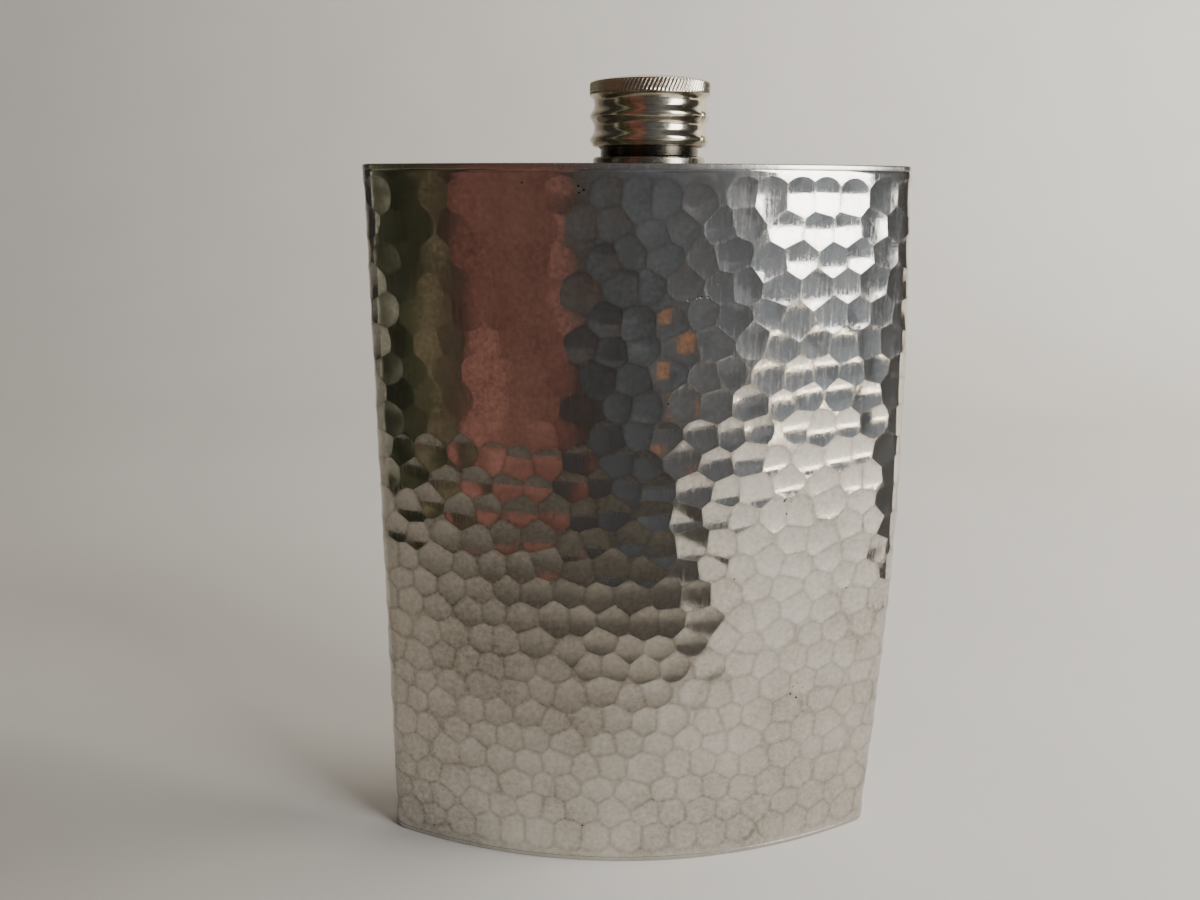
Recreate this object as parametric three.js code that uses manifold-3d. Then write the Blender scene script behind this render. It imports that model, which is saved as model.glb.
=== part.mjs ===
// Hip flask in hammered pewter, about 8 imperial fluid ounces, with a screw cap.
//
// Frame: millimetres, +Z up. The origin is the middle of the base's underside. X runs across the
// broad front, -Y is the front, and the flask stands upright on its base plate.
//
// How it is put together: a sheet of pewter is bent round into a flat oval tube and its edges are
// soldered along one side. A plate is soldered on each end of the tube. A cast neck with a thread
// sits in a hole in the top plate, and a turned cap with a cork disc inside screws down on it.

import * as THREE from "three";
import { mergeVertices } from "three/addons/utils/BufferGeometryUtils.js";
import Module from "manifold-3d";

// ---- Driving dimensions ----

// Body: a lens-shaped tube. Two broad arcs, front and back, meet in a small round at each side.
const bodyHeight = 127; // overall, both plates included
const bodyWidth = 94.2;
const bodyDepth = 29.5;
const sideRadius = 4.0; // round at each side
const sheet = 1.2; // thickness of the wrapped sheet
const plate = 0.9; // thickness of the top and base plates
const sideBulge = 2.4; // how far the folded side swells out at mid-height

// Solder
const seamGap = 0.6; // between the two edges of the sheet
const solderClearance = 0.05; // between solder and the metal it joins
const solderLeg = 1.4; // leg of the fillet inside each end seam
const seamBeadHalfAngle = 40; // degrees; how far the inner bead reaches round the side radius
const seamBeadGap = 8; // degrees between that bead and the ends of the fillets
const neckSolderLeg = 1.1;

// Neck
const neckOffset = 1.7; // the neck sits this far to the right of the middle
const boreRadius = 6.5;
const spigotRadius = 7.4; // the part of the neck that stands in the plate's hole
const spigotClearance = 0.1;
const spigotProud = 1.2; // how far the spigot stands out below the plate
const collarRadius = 9.55;
const collarHeight = 1.3;
const collarRound = 0.45;
const lipRound = 0.6;

// Thread, right-handed, coarse
const threadRootRadius = 8.3; // neck, between the ridges
const threadHeight = 0.45; // ridge height on the neck and in the cap
const threadPitch = 2.5;
const threadClearance = 0.2; // radial
const ridgeBase = 1.6; // width of a ridge at its foot
const ridgeCrest = 0.75; // width of a ridge at its top
const ridgeSunk = 0.25; // how deep the ridge's foot is sunk into its wall, so that the two join
const runOutSteps = 12; // round segments over which a ridge fades at each end
const fadedHeight = 0.2; // share of the ridge's full section left at its very end, inside the wall

// Cap
const capGap = 2.95; // from the top plate to the cap's lower edge, screwed down
const capHeight = 10.35; // lower edge to the top of the milled rim
const rimRadius = 10.15;
const rimHeight = 2.2;
const rimRound = 0.4;
const beadRadius = 10.1; // over the two beads
const coveRadius = 9.4; // in the two hollows above them
const beadPitch = 3.82;
const beadSharpness = 1.5; // above 1 the beads are narrower than the hollows
const firstBead = 1.1; // from the cap's lower edge to the middle of the lower bead
const domeRise = 1.1;
const crown = 1.2; // metal over the liner
const linerThickness = 1.5;
const linerClearance = 0.15;
const mouthChamfer = 0.35;

// Smoothness
const broadPieces = 12; // straight pieces in each broad arc
const sidePieces = 8; // and in each side round
const bodySteps = 10; // straight pieces up the side of the body
const roundSegments = 40; // round the neck and cap, threads included
const profileStepsPerWave = 8;
const edgePieces = 4; // straight pieces in a small edge round
const domePieces = 5;
const filletPieces = 3;

// ---- Worked out from them ----

const halfWidth = bodyWidth / 2;
const halfDepth = bodyDepth / 2;
const sideCentre = halfWidth - sideRadius;
// Radius of a broad arc that is tangent to both side rounds and reaches halfDepth in the middle.
const broadRadius = (sideCentre ** 2 + halfDepth ** 2 - sideRadius ** 2) / (2 * (halfDepth - sideRadius));
const tangentAngle = Math.atan2(broadRadius - halfDepth, sideCentre);
const wrapBottom = plate;
const wrapTop = bodyHeight - plate;
const capBoreRadius = threadRootRadius + threadHeight + threadClearance;
const linerRadius = capBoreRadius - linerClearance;
const capTop = capGap + capHeight; // heights here are above the top plate
const ceiling = capTop - crown;
const neckHeight = ceiling - linerThickness; // the lip meets the liner

const wasm = await Module();
wasm.setup();

// ---- Tools ----

const radians = THREE.MathUtils.degToRad;

// A closed geometry as a manifold-3d solid.
function solid(geometry) {
  const bare = geometry.clone();
  for (const name of ["normal", "uv"]) bare.deleteAttribute(name);
  const merged = mergeVertices(bare, 1e-4);
  return new wasm.Manifold(
    new wasm.Mesh({
      numProp: 3,
      vertProperties: merged.attributes.position.array,
      triVerts: new Uint32Array(merged.index.array),
    }),
  );
}

// A manifold-3d solid as a geometry.
function geometryOf(body) {
  const mesh = body.getMesh();
  const geometry = new THREE.BufferGeometry();
  geometry.setAttribute("position", new THREE.BufferAttribute(mesh.vertProperties, 3));
  geometry.setIndex(new THREE.BufferAttribute(mesh.triVerts, 1));
  geometry.computeVertexNormals();
  return geometry;
}

// Moves each vertex of a geometry by a rule that changes a Vector3 in place.
function reshape(geometry, rule) {
  const position = geometry.attributes.position;
  const point = new THREE.Vector3();
  for (let i = 0; i < position.count; i++) {
    point.fromBufferAttribute(position, i);
    rule(point);
    position.setXYZ(i, point.x, point.y, point.z);
  }
  return geometry;
}

// A geometry with three corners of its own for each face, with its faces turned to the other side.
function flipped(geometry) {
  const corners = Array.from({ length: geometry.attributes.position.count }, (_, i) => i);
  for (let i = 0; i < corners.length; i += 3) {
    corners[i] = i + 1;
    corners[i + 1] = i;
  }
  geometry.setIndex(corners);
  return geometry;
}

// A profile of [radius, height] corners turned about Z. It runs from the axis to the axis, or it
// closes on itself.
function turned(profile) {
  const startsOnAxis = profile[0][0] === 0;
  const corners = startsOnAxis ? profile : [...profile, profile[0]];
  const points = corners.map(([r, z]) => new THREE.Vector2(r, z));
  return new THREE.LatheGeometry(points, roundSegments).rotateX(Math.PI / 2);
}

// A straight-sided solid of an outline, standing on height z.
function upright(outline, z, height, steps = 1) {
  const settings = { depth: height, steps, bevelEnabled: false };
  return new THREE.ExtrudeGeometry(outline, settings).translate(0, 0, z);
}

// Points along an arc about (x, y) from one angle to another, in radians.
function arcPoints(x, y, radius, from, to, pieces) {
  return Array.from({ length: pieces + 1 }, (_, i) => {
    const angle = from + ((to - from) * i) / pieces;
    return new THREE.Vector2(x + radius * Math.cos(angle), y + radius * Math.sin(angle));
  });
}

// Corners of a rounded edge in a turned profile, with its angles in degrees.
function edgeRound(r, z, radius, from, to) {
  return arcPoints(r, z, radius, radians(from), radians(to), edgePieces).map((p) => [p.x, p.y]);
}

// ---- Body section ----

// The four arcs of the lens, set in from the outer face by inset, each as arcPoints takes it.
function lensArcs(inset) {
  const a = tangentAngle;
  const side = sideRadius - inset;
  const broad = broadRadius - inset;
  return {
    right: [sideCentre, 0, side, -a, a, sidePieces],
    back: [0, halfDepth - broadRadius, broad, a, Math.PI - a, broadPieces],
    left: [-sideCentre, 0, side, Math.PI - a, Math.PI + a, sidePieces],
    front: [0, broadRadius - halfDepth, broad, Math.PI + a, 2 * Math.PI - a, broadPieces],
  };
}

// The whole lens as a closed outline.
function lens(inset) {
  const arcs = lensArcs(inset);
  const sides = [arcs.right, arcs.back, arcs.left, arcs.front];
  return new THREE.Shape(sides.flatMap((arc) => arcPoints(...arc).slice(0, -1)));
}

// How far the folded side of the wrap swells out, at a point of the tube.
function swell(x, z) {
  const reach = Math.max(0, x / halfWidth);
  const along = THREE.MathUtils.clamp((z - wrapBottom) / (wrapTop - wrapBottom), 0, 1);
  return sideBulge * reach ** 2 * Math.sin(Math.PI * along);
}

// ---- Body pieces ----

// A line round the tube, set in from its outer face. It starts at an angle past the middle of the
// left side, and runs along the front, round the right side and along the back, to the same angle
// short of the middle of the left side.
function roundTube(inset, gapAngle, leftPieces) {
  const arcs = lensArcs(inset);
  const [x, y, radius, leftStart, leftEnd] = arcs.left;
  return [
    ...arcPoints(x, y, radius, Math.PI + gapAngle, leftEnd, leftPieces).slice(0, -1),
    ...[arcs.front, arcs.right, arcs.back].flatMap((arc) => arcPoints(...arc).slice(0, -1)),
    ...arcPoints(x, y, radius, leftStart, Math.PI - gapAngle, leftPieces),
  ];
}

// The wrapped sheet in section: an open C, with its two edges at the left side.
function wrapOutline() {
  const face = (inset) => {
    const gapAngle = Math.asin(seamGap / 2 / (sideRadius - inset));
    return roundTube(inset, gapAngle, sidePieces / 2);
  };
  return new THREE.Shape([...face(0), ...face(sheet).reverse()]);
}

function bodyWrap() {
  const tube = upright(wrapOutline(), wrapBottom, wrapTop - wrapBottom, bodySteps);
  return reshape(tube, (p) => {
    p.x += swell(p.x, p.z);
  });
}

// The side seam: solder between the sheet's edges, with a bead along the inside.
function sideSeam() {
  const halfWeb = seamGap / 2 - solderClearance;
  const radius = sideRadius - sheet - solderClearance;
  const spread = radians(seamBeadHalfAngle);
  const webAngle = Math.asin(halfWeb / radius);
  const outline = [
    ...arcPoints(-sideCentre, 0, radius, Math.PI - spread, Math.PI - webAngle, sidePieces / 2),
    new THREE.Vector2(-halfWidth, halfWeb),
    new THREE.Vector2(-halfWidth, -halfWeb),
    ...arcPoints(-sideCentre, 0, radius, Math.PI + webAngle, Math.PI + spread, sidePieces / 2),
  ];
  return upright(new THREE.Shape(outline), wrapBottom, wrapTop - wrapBottom);
}

// The fillet of solder inside the seam between the tube and an end plate: a section with a hollow
// face, carried round the inside of the wall from one side of the side seam's bead to the other.
function endSeam(atTop) {
  const hollow = arcPoints(solderLeg, solderLeg, solderLeg, 1.5 * Math.PI, Math.PI, filletPieces);
  const section = new THREE.Shape([new THREE.Vector2(0, 0), ...hollow]);
  const round = (inset) => roundTube(inset, radians(seamBeadHalfAngle + seamBeadGap), 1);
  const steps = round(0).length - 1;
  const bar = new THREE.ExtrudeGeometry(section, { depth: steps, steps, bevelEnabled: false });
  reshape(bar, (p) => {
    const place = round(sheet + solderClearance + p.x)[Math.round(p.z)];
    const rise = solderClearance + p.y;
    p.set(place.x, place.y, atTop ? wrapTop - rise : wrapBottom + rise);
  });
  // The one at the top is a mirror image, so its faces are turned round.
  return atTop ? flipped(bar) : bar;
}

function topPlate() {
  const outline = lens(0);
  const hole = arcPoints(neckOffset, 0, spigotRadius + spigotClearance, 2 * Math.PI, 0, roundSegments);
  outline.holes.push(new THREE.Path(hole.slice(0, -1)));
  return upright(outline, wrapTop, plate);
}

function basePlate() {
  return upright(lens(0), 0, plate);
}

// ---- Thread ----

// A ridge on a round wall: a straight bar of the ridge's section, bent round the axis and raised by
// the pitch. Its middle runs from about startHeight to about endHeight, and is over the X axis at
// crossing. Outward ridges stand on the neck and inward ones in the cap. Both ends fade away.
function ridge({ wallRadius, inward, startHeight, endHeight, crossing }) {
  const stepRise = threadPitch / roundSegments;
  const first = Math.ceil((startHeight - crossing) / stepRise);
  const steps = Math.floor((endHeight - crossing) / stepRise) - first;
  const foot = ridgeBase / 2 + (ridgeSunk * (ridgeBase - ridgeCrest)) / (2 * threadHeight);
  const section = new THREE.Shape([
    new THREE.Vector2(0, -foot),
    new THREE.Vector2(ridgeSunk + threadHeight, -ridgeCrest / 2),
    new THREE.Vector2(ridgeSunk + threadHeight, ridgeCrest / 2),
    new THREE.Vector2(0, foot),
  ]);
  const bar = new THREE.ExtrudeGeometry(section, { depth: steps, steps, bevelEnabled: false });
  const sign = inward ? -1 : 1;
  reshape(bar, (p) => {
    const fade = Math.min(1, fadedHeight + Math.min(p.z, steps - p.z) / runOutSteps);
    const radius = wallRadius + sign * (p.x * fade - ridgeSunk);
    const angle = (2 * Math.PI * (first + p.z)) / roundSegments;
    p.set(radius * Math.cos(angle), radius * Math.sin(angle), crossing + p.y + (first + p.z) * stepRise);
  });
  // Bending the bar outwards turns its faces inside out, so their corners are put in reverse.
  return inward ? bar : flipped(bar);
}

// ---- Neck ----

const neckThreadStart = collarHeight + ridgeBase / 2;

function neck() {
  const bottom = -plate - spigotProud;
  const core = turned([
    [boreRadius, bottom],
    [spigotRadius, bottom],
    [spigotRadius, 0],
    [collarRadius, 0],
    ...edgeRound(collarRadius - collarRound, collarHeight - collarRound, collarRound, 0, 90),
    [threadRootRadius, collarHeight],
    ...edgeRound(threadRootRadius - lipRound, neckHeight - lipRound, lipRound, 0, 90),
    [boreRadius, neckHeight],
  ]);
  const thread = ridge({
    wallRadius: threadRootRadius,
    inward: false,
    startHeight: neckThreadStart,
    endHeight: neckHeight - lipRound - ridgeBase / 2,
    crossing: neckThreadStart,
  });
  return geometryOf(solid(core).add(solid(thread)));
}

// The fillet of solder under the top plate, round the neck's spigot.
function neckSolder() {
  const inner = spigotRadius + solderClearance;
  const under = -plate - solderClearance;
  const hollow = edgeRound(inner + neckSolderLeg, under - neckSolderLeg, neckSolderLeg, 90, 180);
  return turned([[inner, under], ...hollow].reverse());
}

// ---- Cap ----

// Outer radius of the cap's skirt at a height above its lower edge: a wave of beads and hollows.
function skirtRadius(height) {
  const wave = (1 + Math.cos((2 * Math.PI * (height - firstBead)) / beadPitch)) / 2;
  return coveRadius + (beadRadius - coveRadius) * wave ** beadSharpness;
}

// The low dome on top, from its edge to the axis.
function domeCorners() {
  return Array.from({ length: domePieces }, (_, i) => {
    const across = 1 - (i + 1) / domePieces;
    return [(rimRadius - rimRound) * across, capTop + domeRise * (1 - across ** 2)];
  });
}

function capProfile() {
  const skirtHeight = capHeight - rimHeight;
  const steps = Math.round((skirtHeight / beadPitch) * profileStepsPerWave);
  const skirt = Array.from({ length: steps + 1 }, (_, i) => {
    const height = (skirtHeight * i) / steps;
    return [skirtRadius(height), capGap + height];
  });
  return [
    [0, ceiling],
    [capBoreRadius, ceiling],
    [capBoreRadius, capGap + mouthChamfer],
    [capBoreRadius + mouthChamfer, capGap],
    ...skirt,
    [rimRadius, capTop - rimHeight],
    ...edgeRound(rimRadius - rimRound, capTop - rimRound, rimRound, 0, 90),
    ...domeCorners(),
  ];
}

// The cap's ridge runs midway between the turns of the neck's ridge.
function screwCap() {
  const thread = ridge({
    wallRadius: capBoreRadius,
    inward: true,
    startHeight: capGap + mouthChamfer + ridgeBase / 2,
    endHeight: neckHeight - linerClearance - ridgeBase / 2,
    crossing: neckThreadStart + threadPitch / 2,
  });
  return geometryOf(solid(turned(capProfile())).add(solid(thread)));
}

function capLiner() {
  return new THREE.CylinderGeometry(linerRadius, linerRadius, linerThickness, roundSegments)
    .rotateX(Math.PI / 2)
    .translate(0, 0, ceiling - linerThickness / 2);
}

// ---- Materials ----

const metal = (color, roughness) => new THREE.MeshStandardMaterial({ color, roughness, metalness: 1 });
const pewter = metal(0xb9b6af, 0.22);
const pewterPlate = metal(0xb4b1a9, 0.3);
const solder = metal(0x9a9790, 0.45);
const neckMetal = metal(0xa8a295, 0.25);
const capMetal = metal(0xb8b1a0, 0.18);
const cork = new THREE.MeshStandardMaterial({ color: 0xb08a5c, roughness: 0.9, metalness: 0 });

// ---- Assembly ----

function named(name, geometry, material) {
  const mesh = new THREE.Mesh(geometry, material);
  mesh.name = name;
  return mesh;
}

const body = new THREE.Group();
body.add(
  named("body_wrap", bodyWrap(), pewter),
  named("side_seam_solder", sideSeam(), solder),
  named("base_plate", basePlate(), pewterPlate),
  named("base_seam_solder", endSeam(false), solder),
  named("top_plate", topPlate(), pewterPlate),
  named("top_seam_solder", endSeam(true), solder),
);

// The neck and cap share an axis, and their heights are counted from the top plate's upper face.
const mouth = new THREE.Group();
mouth.position.set(neckOffset, 0, bodyHeight);
mouth.add(
  named("neck", neck(), neckMetal),
  named("neck_solder", neckSolder(), solder),
  named("cap_liner", capLiner(), cork),
  named("screw_cap", screwCap(), capMetal),
);

const flask = new THREE.Group();
flask.name = "hip_flask";
flask.add(body, mouth);

export default flask;
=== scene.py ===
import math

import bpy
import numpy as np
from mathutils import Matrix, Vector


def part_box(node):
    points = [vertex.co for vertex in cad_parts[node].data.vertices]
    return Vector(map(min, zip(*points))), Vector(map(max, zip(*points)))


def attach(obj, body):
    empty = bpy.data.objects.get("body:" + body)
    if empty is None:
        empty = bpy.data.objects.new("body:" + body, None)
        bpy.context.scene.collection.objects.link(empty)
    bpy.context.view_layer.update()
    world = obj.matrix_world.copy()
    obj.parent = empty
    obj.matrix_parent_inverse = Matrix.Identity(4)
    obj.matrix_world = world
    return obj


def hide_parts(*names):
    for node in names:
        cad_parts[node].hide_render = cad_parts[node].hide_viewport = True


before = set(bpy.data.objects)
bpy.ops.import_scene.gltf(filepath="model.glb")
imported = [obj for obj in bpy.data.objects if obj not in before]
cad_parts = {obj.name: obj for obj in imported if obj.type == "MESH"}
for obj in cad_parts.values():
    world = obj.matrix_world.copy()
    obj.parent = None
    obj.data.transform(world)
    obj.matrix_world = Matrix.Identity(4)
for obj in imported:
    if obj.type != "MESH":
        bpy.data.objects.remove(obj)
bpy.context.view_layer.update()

# ---- Body wrap ----
# One sheet of pewter, bent round into a tube of lens-shaped section and planished all over with a
# round-faced hammer. Its two edges meet in a seam down the left side. It is polished, and has gone
# slightly dull and pitted with age.

MM = 0.001  # metres
random = np.random.default_rng(8)


def millimetres(node):
    """The node's lowest and highest corner, as two arrays in millimetres."""
    low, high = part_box(node)
    return np.array(low) / MM, np.array(high) / MM


plate_low, plate_high = millimetres("top_plate")
wrap_low, wrap_high = millimetres("body_wrap")
HALF_WIDTH = plate_high[0]
HALF_DEPTH = plate_high[1]
SIDE_RADIUS = 4.0
SHEET = 1.2
SIDE_BULGE = wrap_high[0] - plate_high[0]
SEAM_GAP = 0.6
EDGE_ROUND = 0.05  # the sheet's filed corners at both ends

SIDE_CENTRE = HALF_WIDTH - SIDE_RADIUS
BROAD_RADIUS = SIDE_CENTRE**2 + HALF_DEPTH**2 - SIDE_RADIUS**2
BROAD_RADIUS /= 2 * (HALF_DEPTH - SIDE_RADIUS)
TANGENT = math.atan2(BROAD_RADIUS - HALF_DEPTH, SIDE_CENTRE)
SIDE_LENGTH = SIDE_RADIUS * TANGENT  # half of a side round
BROAD_LENGTH = BROAD_RADIUS * (math.pi - 2 * TANGENT)
GIRTH = 4 * SIDE_LENGTH + 2 * BROAD_LENGTH


def section(along, inset=0.0):
    """Point and outward normal of the lens at a distance along its girth, from the seam at the left
    side, past the front. The outline is four arcs that share tangents, so the normal's angle is
    linear in the distance on each, and the point is the arc's centre plus its radius times the
    normal."""
    along = np.mod(along, GIRTH)
    ends = np.cumsum([SIDE_LENGTH, BROAD_LENGTH, 2 * SIDE_LENGTH, BROAD_LENGTH, SIDE_LENGTH])
    turns = [math.pi, math.pi + TANGENT, 2 * math.pi - TANGENT, 2 * math.pi + TANGENT]
    turns += [3 * math.pi - TANGENT, 3 * math.pi]
    angle = np.interp(along, [0, *ends], turns)
    arc = np.searchsorted(ends[:-1], along)
    drop = BROAD_RADIUS - HALF_DEPTH
    centre_x = np.array([-SIDE_CENTRE, 0, SIDE_CENTRE, 0, -SIDE_CENTRE])[arc]
    centre_y = np.array([0, drop, 0, -drop, 0])[arc]
    radius = np.array([SIDE_RADIUS, BROAD_RADIUS] * 2 + [SIDE_RADIUS])[arc] - inset
    normal = np.stack([np.cos(angle), np.sin(angle)])
    return np.stack([centre_x, centre_y]) + radius * normal, normal


def smooth_step(low, high, value):
    """0 below low, 1 above high, and a cubic ease between."""
    share = np.clip((value - low) / (high - low), 0, 1)
    return share * share * (3 - 2 * share)


def swell(x, z):
    """How far the folded side stands out: a half sine up the height, times the square of x."""
    share = np.clip((z - wrap_low[2]) / (wrap_high[2] - wrap_low[2]), 0, 1)
    return SIDE_BULGE * np.maximum(x / HALF_WIDTH, 0) ** 2 * np.sin(np.pi * share)


DENT_PITCH = 5.5
DENT_RADIUS = 35.0  # of the hammer's face
DENT_DEPTH = 0.17
DENT_WANDER = 0.24  # share of the pitch by which a blow may miss its place
MARGIN = 4.3  # from the ends to the first and last rows of blows
PLAIN_EDGE = 1.0  # no hammer mark reaches nearer to an end than this
dent_columns = round(GIRTH / DENT_PITCH)
column_step = GIRTH / dent_columns
row_step = column_step * math.sqrt(3) / 2
hammered = wrap_high[2] - wrap_low[2] - 2 * MARGIN
dent_rows = round(hammered / row_step) + 1
row_step = hammered / (dent_rows - 1)
lattice = np.meshgrid(np.arange(dent_rows), np.arange(dent_columns), indexing="ij")
dent_z = wrap_low[2] + MARGIN + row_step * lattice[0]
dent_along = column_step * (lattice[1] + 0.5 * (lattice[0] % 2))
dent_along = dent_along + random.uniform(-1, 1, dent_z.shape) * DENT_WANDER * column_step
dent_z = dent_z + random.uniform(-1, 1, dent_z.shape) * DENT_WANDER * row_step
dent_depth = DENT_DEPTH * random.uniform(0.82, 1.12, dent_z.shape)
dent_radius = DENT_RADIUS * random.uniform(0.88, 1.15, dent_z.shape)

# The upper left of the front was burnished nearly flat for engraving.
FLAT_X = (-40.5, -13.0)
FLAT_Z = (84.0, 130.0)
FLAT_EDGE = 5.0
FLAT_KEEP = 0.25  # share of a mark's depth that is left there
FLAT_WIDEN = 0.3  # the marks there are wide ones, as if from a hammer this much flatter


def dent_strength(along, z):
    """Share of its full depth that a blow keeps: a quarter in the burnished panel, all outside it,
    with an eased step between."""
    x, y = section(along)[0]
    inside = smooth_step(FLAT_X[0] - FLAT_EDGE, FLAT_X[0], x)
    inside = inside * (1 - smooth_step(FLAT_X[1], FLAT_X[1] + FLAT_EDGE, x))
    inside = inside * smooth_step(FLAT_Z[0] - FLAT_EDGE, FLAT_Z[0], z) * (y < 0)
    return 1 - (1 - FLAT_KEEP) * inside


dent_depth = dent_depth * dent_strength(dent_along, dent_z)
dent_radius = dent_radius / np.maximum(dent_strength(dent_along, dent_z), FLAT_WIDEN)
dent_reach = np.sqrt(2 * dent_depth * dent_radius) + PLAIN_EDGE
dent_z = np.clip(dent_z, wrap_low[2] + dent_reach, wrap_high[2] - dent_reach)


def hammer_bowls(along, z):
    """The deepest hammer mark at each place, of those in the five rows and columns about it: its
    depth below the smooth sheet, how much deeper it is than the next, and its number, or -1 on
    smooth sheet."""
    row = np.rint((z - wrap_low[2] - MARGIN) / row_step).astype(int)
    deepest = np.zeros_like(z)
    second = np.full_like(z, -1.0)
    owner = np.full(z.shape, -1)
    for row_shift in range(-2, 3):
        near = row + row_shift
        real = (near >= 0) & (near < dent_rows)
        near = np.clip(near, 0, dent_rows - 1)
        column = np.rint(along / column_step - 0.5 * (near % 2)).astype(int)
        for column_shift in range(-2, 3):
            number = near * dent_columns + (column + column_shift) % dent_columns
            bowl = np.where(real, bowl_depth(number, along, z), -1)
            second = np.maximum(second, np.minimum(bowl, deepest))
            owner = np.where(bowl > deepest, number, owner)
            deepest = np.maximum(deepest, bowl)
    return deepest, deepest - second, owner


def bowl_depth(number, along, z):
    """Depth of one hammer mark at a place: a shallow bowl, its full depth less the squared distance
    over twice the hammer's radius. It is negative outside the mark. Number -1 is smooth sheet."""
    across = along - dent_along.ravel()[number]
    across = across - GIRTH * np.rint(across / GIRTH)
    squared = across**2 + (z - dent_z.ravel()[number]) ** 2
    bowl = dent_depth.ravel()[number] - squared / (2 * dent_radius.ravel()[number])
    return np.where(number < 0, 0, bowl)


WAVES = 14
WAVE_LENGTH = 22.0  # up the sheet, the shortest
UNEVEN = 0.02
wave_turns = random.integers(5, 17, WAVES)  # whole waves round the girth
wave_rise = random.uniform(-1, 1, WAVES) * 2 * np.pi / WAVE_LENGTH
wave_phase = random.uniform(0, 2 * np.pi, WAVES)


def uneven(along, z):
    """How far the sheet lies below its true lens: a sum of sines that run round it and slant up it,
    12 to 40 mm long, as hammering never leaves a sheet quite true."""
    total = np.zeros_like(z)
    for turns, rise, phase in zip(wave_turns, wave_rise, wave_phase):
        total += 1 + np.sin(2 * np.pi * turns * along / GIRTH + rise * z + phase)
    return UNEVEN * total / math.sqrt(WAVES)


def hammer_depth(along, z):
    """Depth of the worked surface below the smooth sheet, hammer marks and unevenness together. It
    eases to nothing at the two ends, where the sheet meets its plates."""
    clear = smooth_step(0, MARGIN, np.minimum(z - wrap_low[2], wrap_high[2] - z))
    return hammer_bowls(along, z)[0] + uneven(along, z) * clear


RIDGE_GAP = 0.035  # difference of depth between two marks at the edge of their ridge


def ridge_mask(along, z):
    """1 on the crest of a ridge between two hammer marks, falling to 0 in the marks: a bell curve
    of the difference between their depths."""
    gap = hammer_bowls(along, z)[1] / RIDGE_GAP
    inside = smooth_step(0, MARGIN / 2, np.minimum(z - wrap_low[2], wrap_high[2] - z))
    return np.exp(-gap * gap) * dent_strength(along, z) * inside


def wrap_surface(along, z, inset):
    """Points of the sheet at a girth distance, a height and a depth below the smooth outer face."""
    (x, y), (normal_x, normal_y) = section(along)
    bulge = swell(x, z)
    return np.stack([x - inset * normal_x + bulge, y - inset * normal_y, z], axis=-1)


def grid_quads(index):
    """The four corners of every square of a grid of point numbers, anticlockwise from outside."""
    corners = [index[:-1, :-1], index[:-1, 1:], index[1:, 1:], index[1:, :-1]]
    return np.stack(corners, axis=-1).reshape(-1, 4)


def skin(name, rings, loop=False, start=None, end=None):
    """A mesh object over a grid of points, given as rows of columns in millimetres. The columns run
    anticlockwise seen from above and the rows run up the outside, so the faces point outwards. The
    last column joins the first, and with loop the last row joins the first. A start or end point
    closes that end of the rows with a fan of triangles."""
    rows, columns = rings.shape[:2]
    points = rings.reshape(-1, 3)
    index = np.arange(rows * columns).reshape(rows, columns)
    around = np.hstack([index, index[:, :1]])
    faces = grid_quads(np.vstack([around, around[:1]]) if loop else around).tolist()
    for pole, ring, flip in ((start, index[0], True), (end, index[-1], False)):
        if pole is None:
            continue
        points = np.vstack([points, pole])
        middle = np.full(columns, len(points) - 1)
        following = np.roll(ring, -1)
        fan = [middle, following, ring] if flip else [ring, following, middle]
        faces += np.stack(fan, axis=-1).tolist()
    return mesh_object(name, points, faces)


def mesh_object(name, points, faces):
    """A smooth-shaded mesh object at the origin, from points in millimetres and faces."""
    mesh = bpy.data.meshes.new(name)
    mesh.from_pydata((points * MM).tolist(), [], faces)
    mesh.shade_smooth()
    piece = bpy.data.objects.new(name, mesh)
    bpy.context.collection.objects.link(piece)
    return piece


WRAP_COLUMNS = 330
WRAP_INNER_STEPS = 10
WRAP_STEPS_EACH = 20  # outer steps beside each inner step
CUT_CLEAR = 0.02  # share of a step that a cut stays away from its ends


def ridge_points(along, z, owner, first_number, axis):
    """Where the steps of a grid along one axis cross a ridge: the places, as two arrays, and a grid
    of their numbers, with -1 where there is none. Two marks are equally deep at their ridge, and
    the place is found as if the difference of their depths were linear along the step."""
    first = np.s_[:, :-1] if axis else np.s_[:-1]
    last = np.s_[:, 1:] if axis else np.s_[1:]
    crosses = owner[first] != owner[last]
    along_a, z_a, mark_a = (grid[first][crosses] for grid in (along, z, owner))
    along_b, z_b, mark_b = (grid[last][crosses] for grid in (along, z, owner))
    gap_a = bowl_depth(mark_a, along_a, z_a) - bowl_depth(mark_b, along_a, z_a)
    gap_b = bowl_depth(mark_a, along_b, z_b) - bowl_depth(mark_b, along_b, z_b)
    share = np.clip(gap_a / (gap_a - gap_b), CUT_CLEAR, 1 - CUT_CLEAR)
    numbers = np.full(crosses.shape, -1)
    numbers[crosses] = first_number + np.arange(crosses.sum())
    return [along_a + share * (along_b - along_a), z_a + share * (z_b - z_a)], numbers


def cut_quad(corners, crossings, owners, centre):
    """The pieces of a grid square that ridges cross, each with the mark that owns it. Each run of
    corners in one mark becomes a face, closed by the cut, or by the centre if marks meet inside."""
    faces = []
    starts = [k for k in range(4) if crossings[k - 1] >= 0]
    for start in starts:
        face = [crossings[start - 1], corners[start]]
        k = start
        while crossings[k] < 0:
            k = (k + 1) % 4
            face.append(corners[k])
        face.append(crossings[k])
        if len(starts) > 2:
            face.append(centre)
        faces.append((face, owners[start]))
    return faces


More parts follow.
